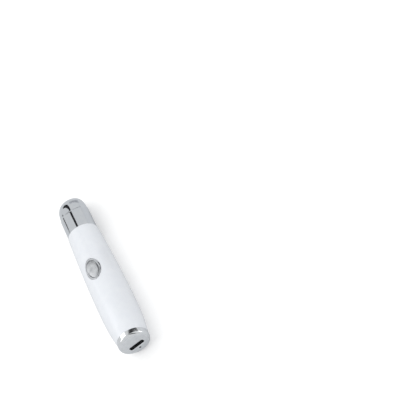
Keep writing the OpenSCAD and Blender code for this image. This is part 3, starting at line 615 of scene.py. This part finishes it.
grain(copper_winding, (0.36, 0.12, 0.04), (0.56, 0.24, 0.09), (0.22, 0.4), 0.14, 0.02, 0.6, (1, 0.05, 1))
print("eight metals are ready")

# %% Plastics and rubbers inside
# The port's liner and tongue are black plastic, made darker and less shiny than the black moulded plastic:
# their own black with painted shade of the inside of the slot on top.
liner_black_and_slot_shade = finish("black_port_liner_and_slot_shade", (0.004, 0.004, 0.005), 0.7, Specular_IOR_Level=0.05)
grain(liner_black_and_slot_shade, (0.003, 0.003, 0.004), (0.006, 0.006, 0.007), (0.6, 0.8), 0.15, 0.008, 0.4)
tongue_black_and_slot_shade = finish("black_port_tongue_and_slot_shade", (0.006, 0.006, 0.007), 0.7, Specular_IOR_Level=0.05)
grain(tongue_black_and_slot_shade, (0.004, 0.004, 0.005), (0.009, 0.009, 0.010), (0.6, 0.8), 0.2, 0.006, 0.3)
black_plastic = finish("black_moulded_plastic", (0.02, 0.02, 0.023), 0.45)
grain(black_plastic, (0.014, 0.014, 0.016), (0.028, 0.028, 0.031), (0.38, 0.55), 0.2, 0.006, 0.3)
grey_plastic = finish("grey_moulded_carrier", (0.52, 0.53, 0.54), 0.5)
grain(grey_plastic, (0.48, 0.49, 0.50), (0.56, 0.57, 0.58), (0.42, 0.6), 0.3, 0.01, 0.35)
cream_plastic = finish("cream_moulded_plastic", (0.72, 0.71, 0.68), 0.48)
grain(cream_plastic, (0.69, 0.68, 0.64), (0.75, 0.74, 0.71), (0.4, 0.56), 0.3, 0.008, 0.3)
switch_plastic = finish("switch_case_plastic", (0.58, 0.58, 0.59), 0.4)
grain(switch_plastic, (0.54, 0.54, 0.55), (0.62, 0.62, 0.63), (0.34, 0.5), 0.2, 0.006, 0.3)
blue_wrap = finish("blue_cell_wrap", (0.03, 0.08, 0.36), 0.25)
grain(blue_wrap, (0.02, 0.06, 0.30), (0.05, 0.11, 0.42), (0.2, 0.34), 0.8, 0.02, 0.25, (1, 0.3, 1))
board_lacquer = finish("green_board_lacquer", (0.012, 0.10, 0.04), 0.3)
grain(board_lacquer, (0.008, 0.075, 0.028), (0.018, 0.13, 0.055), (0.22, 0.4), 0.35, 0.012, 0.35)
red_silicone = finish("red_wire_jacket", (0.36, 0.02, 0.015), 0.5)
grain(red_silicone, (0.30, 0.015, 0.01), (0.42, 0.03, 0.022), (0.42, 0.6), 0.2, 0.006, 0.3)
dark_silicone = finish("dark_wire_jacket", (0.025, 0.025, 0.028), 0.52)
grain(dark_silicone, (0.018, 0.018, 0.02), (0.034, 0.034, 0.037), (0.44, 0.62), 0.2, 0.006, 0.3)
sand_silicone = finish("sand_wire_jacket", (0.45, 0.34, 0.15), 0.5)
grain(sand_silicone, (0.39, 0.29, 0.12), (0.51, 0.39, 0.19), (0.42, 0.6), 0.2, 0.006, 0.3)
sleeve_rubber = finish("motor_sleeve_rubber", (0.022, 0.022, 0.024), 0.68)
grain(sleeve_rubber, (0.015, 0.015, 0.017), (0.03, 0.03, 0.032), (0.6, 0.8), 0.15, 0.015, 0.5)
pad_rubber = finish("terracotta_pad_rubber", (0.32, 0.07, 0.035), 0.62)
grain(pad_rubber, (0.27, 0.055, 0.025), (0.38, 0.09, 0.05), (0.55, 0.72), 0.2, 0.015, 0.45)
film_polyimide = finish("amber_heating_film", (0.50, 0.20, 0.02), 0.22)
grain(film_polyimide, (0.42, 0.15, 0.012), (0.58, 0.26, 0.035), (0.16, 0.3), 0.6, 0.006, 0.25)
print("fourteen plastics and rubbers are ready")

# %% [markdown]
# The light pipe is plastic that lets a little light through, so it has some transmission beside its
# dark colour, and that near-black colour is painted shade for the light's small hole. The charging light
# behind it is a pale lens.

# %% Light pipe and charging light
# near black: painted shade that makes the light's small hole look dark
pipe_dark_with_hole_shade = finish("dark_light_pipe_and_hole_shade", (0.008, 0.008, 0.01), 0.4, IOR=1.49, Specular_IOR_Level=0.1)
grain(pipe_dark_with_hole_shade, (0.006, 0.006, 0.008), (0.012, 0.012, 0.014), (0.3, 0.5), 0.3, 0.003, 0.15)
pipe_dark_with_hole_shade.node_tree.nodes["Principled BSDF"].inputs["Transmission Weight"].default_value = 0.3
led_lens = finish("pale_led_lens", (0.80, 0.76, 0.55), 0.25)
grain(led_lens, (0.74, 0.70, 0.48), (0.86, 0.82, 0.62), (0.18, 0.34), 0.3, 0.004, 0.2)

inside_finishes = {
    # the USB socket wears dark blackened steel, not bright socket steel: painted shade that makes the slot
    # black inside
    "port_insert": liner_black_and_slot_shade, "usb_socket": blackened_steel_and_slot_shade, "usb_tongue": tongue_black_and_slot_shade,
    "light_pipe": pipe_dark_with_hole_shade, "charge_led": led_lens, "charge_board": board_lacquer,
    "charge_board_parts": black_plastic, "inner_carrier": grey_plastic, "carrier_screws": blackened_steel_and_slot_shade,
    "battery_cell": blue_wrap, "battery_tabs": nickel, "battery_leads": red_silicone,
    "charge_leads": dark_silicone, "main_board": board_lacquer, "main_board_parts": black_plastic,
    "switch_body": switch_plastic, "switch_plunger": black_plastic, "motor_can": drawn_steel,
    "motor_end_bell": black_plastic, "motor_magnet": ground_magnet, "motor_bearing": sintered_bronze,
    "motor_sleeve": sleeve_rubber, "motor_clamp": grey_plastic, "motor_leads": red_silicone,
    "motor_shaft": socket_steel, "motor_armature": copper_winding, "eccentric_weight": sintered_weight,
    "head_collar": cream_plastic, "heater_holder": cream_plastic, "heater_pad": pad_rubber,
    "heater_film": film_polyimide, "thermistor": black_plastic, "heater_leads": sand_silicone,
}
for name, material in inside_finishes.items():
    cad_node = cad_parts[name]
    for each in cad_node.material_slots:
        each.material = material
print(len(inside_finishes), "pieces inside are finished")

# %% [markdown]
# ## Floor and surroundings
#
# Polished metal shows what stands round it. A studio's table and walls look white to the camera, but
# metal sees them as light grey, and the light they give is soft and even. The Light Path node tells
# these three kinds of ray apart, so each gets the brightness it needs.

# %% Pale floor and sky
FLOOR_SEEN = 0.3
FLOOR_IN_METAL = (0.66, 0.67, 0.68, 1)
SKY_LIGHT = 0.84
SKY_IN_METAL = 0.72


def ray(tree, *kinds):
    path = tree.nodes.new("ShaderNodeLightPath")
    total = path.outputs[kinds[0]]
    for kind in kinds[1:]:
        either = tree.nodes.new("ShaderNodeMath")
        either.operation = "MAXIMUM"
        tree.links.new(total, either.inputs[0])
        tree.links.new(path.outputs[kind], either.inputs[1])
        total = either.outputs[0]
    return total


def choose(tree, when, usual, special):
    mix = tree.nodes.new("ShaderNodeMixShader")
    tree.links.new(when, mix.inputs[0])
    tree.links.new(usual, mix.inputs[1])
    tree.links.new(special, mix.inputs[2])
    return mix.outputs[0]


def glowing(tree, base, strength):
    glow = tree.nodes.new("ShaderNodeEmission")
    glow.inputs["Strength"].default_value = strength
    both = tree.nodes.new("ShaderNodeAddShader")
    tree.links.new(base, both.inputs[0])
    tree.links.new(glow.outputs[0], both.inputs[1])
    return both.outputs[0]


floor_material = bpy.data.materials.new("pale_table")
floor_material.use_nodes = True
tree = floor_material.node_tree
tree.nodes.clear()
matt = tree.nodes.new("ShaderNodeBsdfDiffuse")
matt.inputs["Color"].default_value = (0.8, 0.795, 0.79, 1)
dim = tree.nodes.new("ShaderNodeBsdfDiffuse")
dim.inputs["Color"].default_value = FLOOR_IN_METAL
plain = matt.outputs[0]
mirrored = choose(tree, ray(tree, "Is Glossy Ray"), plain, dim.outputs[0])
lightened = glowing(tree, plain, FLOOR_SEEN)
surface = choose(tree, ray(tree, "Is Camera Ray", "Is Transmission Ray"), mirrored, lightened)
output = tree.nodes.new("ShaderNodeOutputMaterial")
tree.links.new(surface, output.inputs["Surface"])

floor_mesh = bpy.data.meshes.new("table")
floor_mesh.from_pydata([(-3, -3, 0), (3, -3, 0), (3, 3, 0), (-3, 3, 0)], [], [(0, 1, 2, 3)])
floor = bpy.data.objects.new("table", floor_mesh)
floor.location.z = -0.0001
bpy.context.collection.objects.link(floor)
floor_mesh.materials.append(floor_material)
floor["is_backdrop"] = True

world = bpy.context.scene.world or bpy.data.worlds.new("room")
bpy.context.scene.world = world
world.use_nodes = True
tree = world.node_tree
tree.nodes.clear()


def sky(colour, strength):
    shade = tree.nodes.new("ShaderNodeBackground")
    shade.inputs["Color"].default_value = (*colour, 1)
    shade.inputs["Strength"].default_value = strength
    return shade.outputs[0]


lit = choose(tree, ray(tree, "Is Glossy Ray"), sky((0.97, 0.985, 1.0), SKY_LIGHT),
             sky((0.97, 0.99, 1.0), SKY_IN_METAL))
seen = choose(tree, ray(tree, "Is Camera Ray", "Is Transmission Ray"), lit, sky((1, 1, 1), 1.0))
output = tree.nodes.new("ShaderNodeOutputWorld")
tree.links.new(seen, output.inputs["Surface"])
print("table and sky are in place")

# %% [markdown]
# ## The camera
#
# The camera's place was found by fitting a pinhole camera to the outline of the barrel and the cap. It
# looks at a point on the wand's axis from behind and above, and is rolled, because our wand lies with its
# button straight up.

# %% Camera
AZIMUTH, ELEVATION, ROLL = 0.309378, 0.878447, -0.895834
ASIDE, ABOVE, AWAY = -62.9460, -47.3973, 964.0665
AIM = (0, 60, 0)
back = np.array([math.sin(AZIMUTH) * math.cos(ELEVATION), -math.cos(AZIMUTH) * math.cos(ELEVATION),
                 math.sin(ELEVATION)])
level = np.cross(-back, [0, 0, 1.0])
level /= np.linalg.norm(level)
upright = np.cross(level, -back)
right = level * math.cos(ROLL) + upright * math.sin(ROLL)
up = -level * math.sin(ROLL) + upright * math.cos(ROLL)
spot = place([np.array(AIM) + back * AWAY - right * ASIDE - up * ABOVE])[0]

camera_data = bpy.data.cameras.new("camera")
camera_data.lens = 135
camera_data.sensor_width = 36
camera_data.clip_start = 0.05
camera = bpy.data.objects.new("camera", camera_data)
camera.matrix_world = mathutils.Matrix.Translation(spot) @ mathutils.Matrix(
    [list(row) for row in np.stack([right, up, back], 1)]).to_4x4()
bpy.context.collection.objects.link(camera)
bpy.context.scene.camera = camera
print("camera at", [round(c, 3) for c in spot])

# %% [markdown]
# ## The lamps
#
# Two large area lamps give the soft light of a product photograph: a main one from the upper left of the
# picture, and a weaker one from the other side. Mirrors don't show them, because the sky already gives
# the metal its even grey. A third, small one does show in the metal, as a bright edge. Directions are
# given in the picture's own terms, as right, up and towards the camera.

# %% Soft lamps
def lamp(name, direction, distance, size, power, colour=(1, 1, 1)):
    data = bpy.data.lights.new(name, "AREA")
    data.shape = "RECTANGLE"
    data.size, data.size_y = size
    data.energy = power
    data.color = colour
    made = bpy.data.objects.new(name, data)
    way = right * direction[0] + up * direction[1] + back * direction[2]
    way = mathutils.Vector(way / np.linalg.norm(way))
    target = mathutils.Vector(place([AIM])[0])
    made.location = target + way * distance
    made.rotation_mode = "QUATERNION"
    made.rotation_quaternion = way.to_track_quat("Z", "Y")
    bpy.context.collection.objects.link(made)
    return made


lamp("main_softbox", (-1.1, 0.4, 0.9), 0.9, (0.8, 0.8), 2.2, (1.0, 0.99, 0.98)).visible_glossy = False
lamp("side_softbox", (1.2, -0.2, 0.7), 0.9, (0.6, 0.9), 1.1, (0.97, 0.98, 1.0)).visible_glossy = False
lamp("edge_light", (-1.0, 0.3, 0.12), 0.6, (0.12, 0.3), 0.08)
print("three lamps are in place")

# %% [markdown]
# The lines in the polished metal are mirror images of things beside the photographer's lamps: black
# flags, and white cards near the cap. Bent bands stand in for them, and the white ones glow, so they are
# painted highlights that only the metal shows. Each is built through stations, which are a direction
# from the place that mirrors it and half its width in degrees. Neither the camera nor the soft light sees
# a band, and it casts no shadow.

# %% Bands for the mirror images
def flag(name, seen_from, distance, material, stations):
    ways = [right * a + up * b + back * c for a, b, c, _ in stations]
    ways = [way / np.linalg.norm(way) for way in ways]
    edges = []
    for i, way in enumerate(ways):
        along = ways[min(i + 1, len(ways) - 1)] - ways[max(i - 1, 0)]
        across = np.cross(way, along)
        across *= math.radians(stations[i][3]) / np.linalg.norm(across)
        edges.append([np.array(seen_from) + distance * side for side in (way - across, way + across)])
    points = place([point for pair in edges for point in pair])
    faces = [(2 * i, 2 * i + 1, 2 * i + 3, 2 * i + 2) for i in range(len(ways) - 1)]
    mesh = bpy.data.meshes.new(name)
    mesh.from_pydata([tuple(point) for point in points], [], faces)
    band = bpy.data.objects.new(name, mesh)
    bpy.context.collection.objects.link(band)
    mesh.materials.append(material)
    band.visible_camera = band.visible_diffuse = band.visible_shadow = band.visible_transmission = False
    band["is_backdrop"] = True


flag_black = finish("flag_black", (0.01, 0.01, 0.012), 0.9)
flag_grey = finish("flag_grey", (0.56, 0.57, 0.59), 0.9)
# The white bands glow: painted highlights that only the metal shows.
glowing_white_band = finish("glowing_white_band", (0.9, 0.9, 0.9), 0.9, Emission_Strength=1.0)
bands = (
    ("head_flag", (0, 105, 5), 450, flag_black, [
        (-0.55, 0.78, 0.30, 5), (-0.60, 0.78, 0.16, 6), (-0.58, 0.80, 0.07, 5),
        (-0.67, 0.70, -0.22, 7), (-0.74, 0.55, -0.38, 6), (-0.80, 0.42, -0.42, 3)]),
    ("thin_flag", (0, 105, 5), 450, flag_black, [(-0.92, 0.14, -0.34, 3), (-0.90, 0.06, -0.44, 3)]),
    ("ring_flag", (3, 58, 12), 60, flag_black, [
        (0.10, 0.99, 0.02, 4), (0.30, 0.93, -0.18, 7), (0.46, 0.78, -0.40, 8), (0.48, 0.55, -0.66, 6)]),
    ("crease_flag", (0, 105, 5), 40, flag_grey, [
        (-0.36, 0.88, -0.27, 5), (-0.22, 0.90, -0.36, 6), (0.02, 0.90, -0.42, 7), (0.17, 0.82, -0.52, 7)]),
    ("cap_flag", (0, 2, 5), 450, flag_black, [
        (0.45, 0.88, 0.06, 2), (0.26, 0.97, 0.03, 3), (-0.03, 0.98, 0.20, 4),
        (-0.20, 0.93, 0.28, 6), (-0.33, 0.86, 0.38, 5), (-0.54, 0.73, 0.42, 3)]),
    ("near_flag", (0, 2, 5), 300, flag_black, [
        (0.63, 0.06, 0.78, 3), (0.30, 0.30, 0.90, 7), (-0.05, 0.50, 0.86, 9),
        (-0.28, 0.60, 0.75, 6), (-0.56, 0.60, 0.57, 3)]),
    ("left_glow", (0, 2, 5), 90, glowing_white_band, [
        (-0.75, 0.60, 0.25, 6), (-0.90, 0.40, 0.10, 10), (-0.97, 0.10, 0.15, 12), (-0.95, -0.25, 0.12, 8)]),
    ("right_glow", (0, 2, 5), 90, glowing_white_band, [
        (0.40, 0.90, 0.18, 5), (0.72, 0.66, 0.25, 8), (0.88, 0.35, 0.33, 8)]),
)
for band in bands:
    flag(*band)
print(len(bands), "bands are in place")

# %% Colour view and the dressed box
bpy.context.scene.view_settings.view_transform = "Standard"
dressed_box = [list(corner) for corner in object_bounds()]
print("dressed box in mm:", [[round(c * 1000, 2) for c in corner] for corner in dressed_box])
